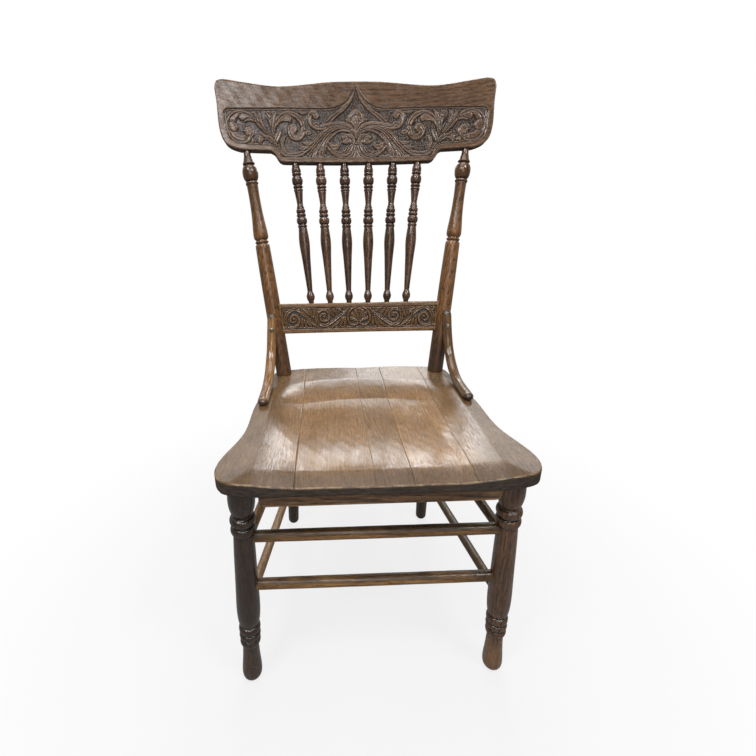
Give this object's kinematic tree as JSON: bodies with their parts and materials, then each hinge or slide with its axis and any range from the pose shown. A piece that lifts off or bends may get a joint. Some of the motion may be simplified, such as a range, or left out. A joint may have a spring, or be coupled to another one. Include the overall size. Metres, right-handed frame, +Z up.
{
  "type": "press back chair",
  "caption": "Wooden side chair with a saddled seat, turned legs and stretchers, fanned turned spindles and a wide crest rail pressed with scroll ornament.",
  "frame": {"origin": "bottom centre of the chair's box, on the floor", "axes": "+Z up, the chair's front faces -Y, +X towards the right when looking along +Y at its front"},
  "size_m": [0.552, 0.5456, 1.0141],
  "materials": {
    "seat_oak": "worn glossy varnish, saddled oak boards",
    "pressed_oak": "dark satin varnish over pressed ornament",
    "spindle_oak": "dark satin varnish on turned oak",
    "back_oak": "brown satin varnish with worn highlights",
    "leg_oak": "very dark worn varnish on turned oak",
    "stretcher_oak": "brown worn varnish",
    "screw_steel": "aged, dulled steel"
  },
  "bodies": {
    "root": {"apron_screws": "screw_steel", "brace_post_screws": "screw_steel", "brace_seat_screws": "screw_steel", "crest_rail": "pressed_oak", "front_apron": "leg_oak", "left_back_leg": "leg_oak", "left_back_post": "back_oak", "left_brace": "back_oak", "left_front_leg": "leg_oak", "left_lower_side_stretcher": "stretcher_oak", "left_upper_side_stretcher": "stretcher_oak", "lower_back_rail": "pressed_oak", "lower_front_stretcher": "stretcher_oak", "rear_stretcher": "stretcher_oak", "right_back_leg": "leg_oak", "right_back_post": "back_oak", "right_brace": "back_oak", "right_front_leg": "leg_oak", "right_lower_side_stretcher": "stretcher_oak", "right_upper_side_stretcher": "stretcher_oak", "seat_board_1": "seat_oak", "seat_board_2": "seat_oak", "seat_board_3": "seat_oak", "seat_board_4": "seat_oak", "seat_board_5": "seat_oak", "spindle_1": "spindle_oak", "spindle_2": "spindle_oak", "spindle_3": "spindle_oak", "spindle_4": "spindle_oak", "spindle_5": "spindle_oak", "spindle_6": "spindle_oak", "upper_front_stretcher": "stretcher_oak"}
  },
  "joints": []
}
